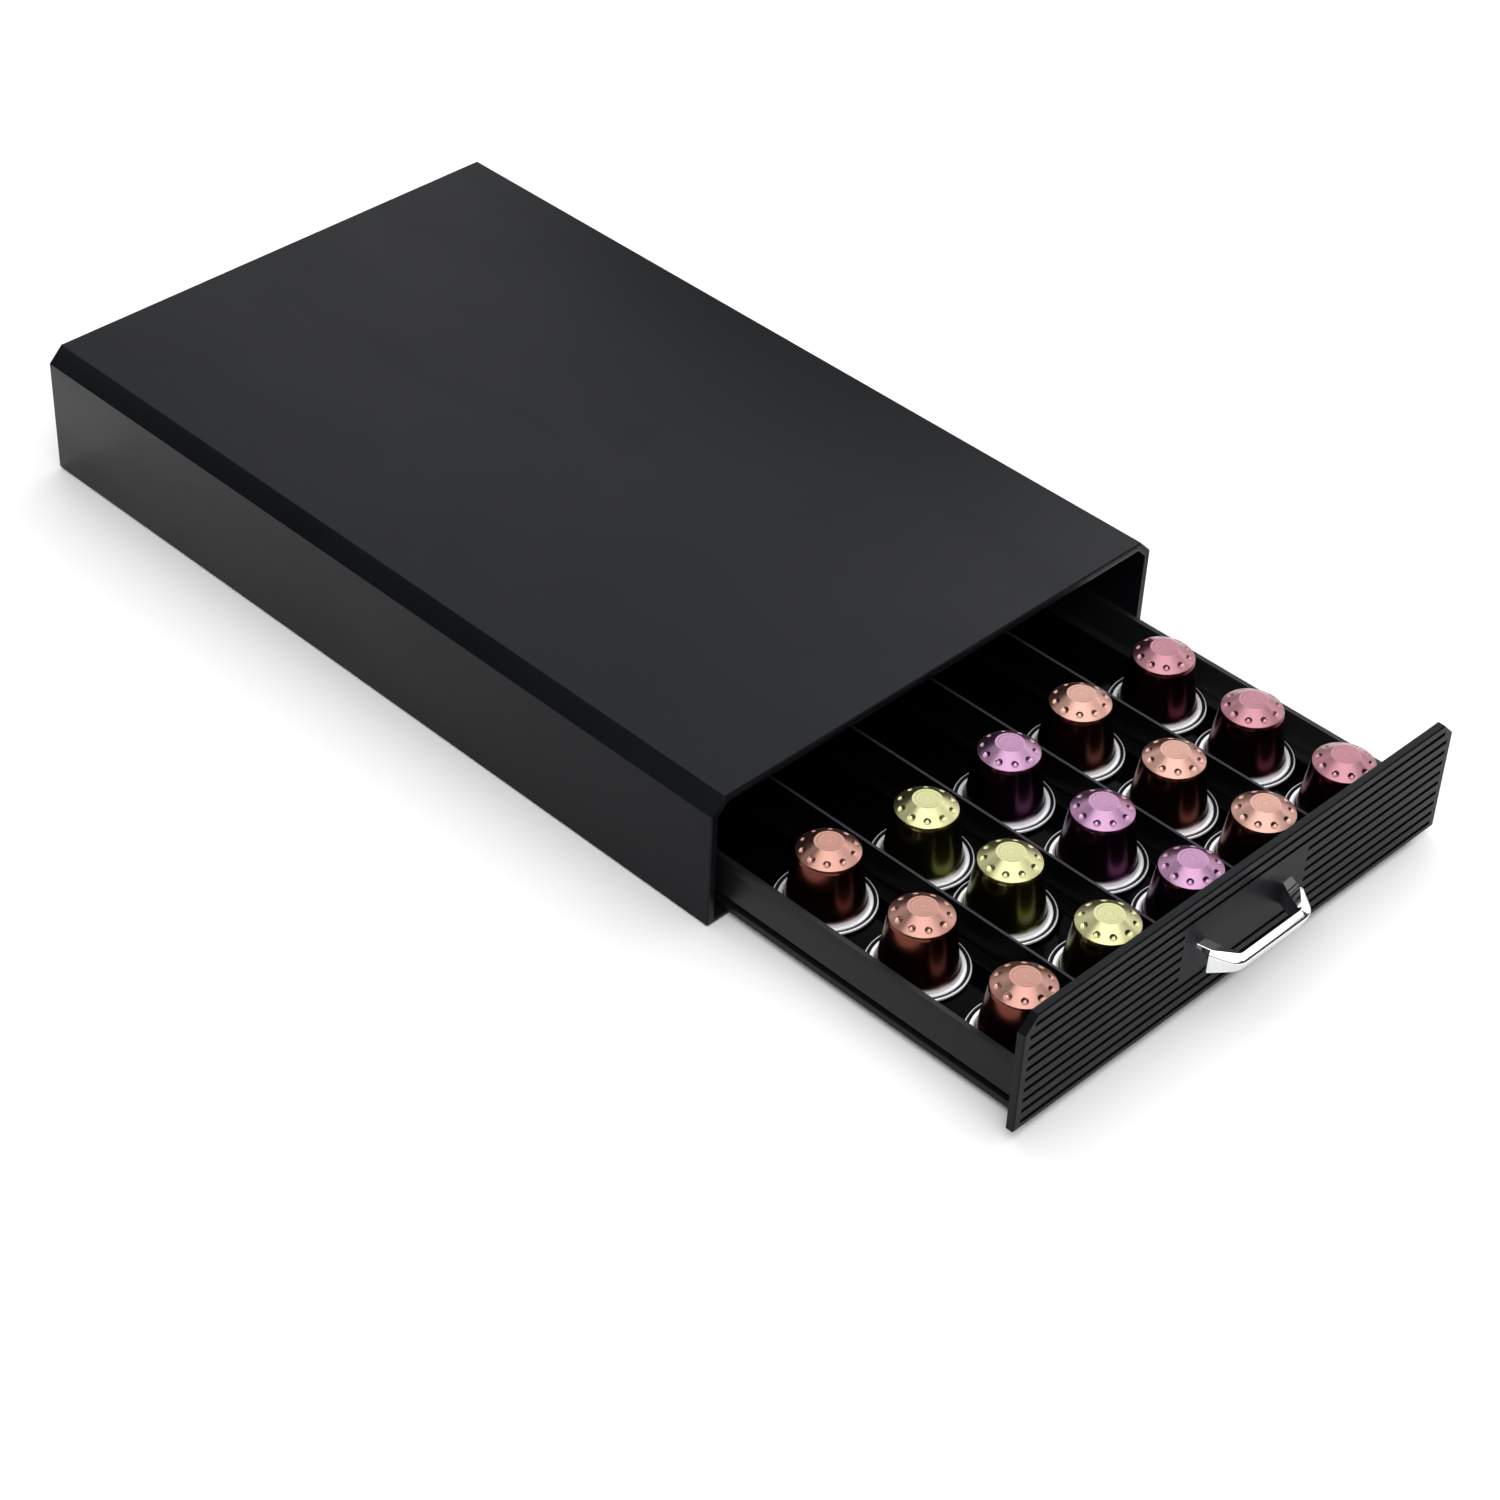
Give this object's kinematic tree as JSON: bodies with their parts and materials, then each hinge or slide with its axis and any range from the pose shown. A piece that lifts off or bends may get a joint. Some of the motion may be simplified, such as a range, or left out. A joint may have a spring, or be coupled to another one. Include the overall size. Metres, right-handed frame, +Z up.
{
  "type": "coffee pod drawer",
  "caption": "Low drawer that stands under a coffee machine and holds upright coffee pods in divided channels, behind a grooved front panel with a bow handle.",
  "frame": {"origin": "under the middle of the object as it stands, drawer part open, on the surface that the feet rest on", "axes": "+X across the drawer, to the right for someone who faces its front panel, -Y the way the drawer opens, +Z up"},
  "size_m": [0.23, 0.5274, 0.0558],
  "materials": {
    "housing_plastic": "satin moulded",
    "panel_plastic": "satin moulded",
    "tray_plastic": "satin moulded",
    "runner_plastic": "matt moulded",
    "channel_plastic": "polished",
    "handle_chrome": "polished plating",
    "screw_steel": "plain",
    "foot_rubber": "matt",
    "pod_copper": "tinted satin",
    "pod_olive": "tinted satin",
    "pod_lilac": "tinted satin",
    "pod_peach": "tinted satin",
    "pod_rose": "tinted satin",
    "pod_foil": "satin"
  },
  "bodies": {
    "housing": {"housing_shell": "housing_plastic", "housing_base": "housing_plastic", "housing_back": "housing_plastic", "left_runner": "runner_plastic", "right_runner": "runner_plastic", "runner_screws": "screw_steel", "base_screws": "screw_steel", "front_left_foot": "foot_rubber", "front_right_foot": "foot_rubber", "rear_left_foot": "foot_rubber", "rear_right_foot": "foot_rubber"},
    "drawer": {"tray_left_side": "tray_plastic", "tray_right_side": "tray_plastic", "left_stop_tab": "runner_plastic", "right_stop_tab": "runner_plastic", "tray_floor": "channel_plastic", "tray_screws": "screw_steel", "tray_front": "tray_plastic", "tray_back": "tray_plastic", "divider_1": "channel_plastic", "divider_2": "channel_plastic", "divider_3": "channel_plastic", "divider_4": "channel_plastic", "front_panel": "panel_plastic", "panel_screws": "screw_steel", "handle": "handle_chrome", "handle_screws": "screw_steel", "pod_copper_1": "pod_copper", "pod_copper_2": "pod_copper", "pod_copper_3": "pod_copper", "pod_olive_1": "pod_olive", "pod_olive_2": "pod_olive", "pod_olive_3": "pod_olive", "pod_lilac_1": "pod_lilac", "pod_lilac_2": "pod_lilac", "pod_lilac_3": "pod_lilac", "pod_peach_1": "pod_peach", "pod_peach_2": "pod_peach", "pod_peach_3": "pod_peach", "pod_rose_1": "pod_rose", "pod_rose_2": "pod_rose", "pod_rose_3": "pod_rose", "foil_copper_1": "pod_foil", "foil_copper_2": "pod_foil", "foil_copper_3": "pod_foil", "foil_olive_1": "pod_foil", "foil_olive_2": "pod_foil", "foil_olive_3": "pod_foil", "foil_lilac_1": "pod_foil", "foil_lilac_2": "pod_foil", "foil_lilac_3": "pod_foil", "foil_peach_1": "pod_foil", "foil_peach_2": "pod_foil", "foil_peach_3": "pod_foil", "foil_rose_1": "pod_foil", "foil_rose_2": "pod_foil", "foil_rose_3": "pod_foil"}
  },
  "joints": [
    {"name": "drawer_slide", "type": "slide", "parent": "housing", "child": "drawer", "axis": [0, -1, 0], "range_m": [-0.137, 0.1677]}
  ]
}
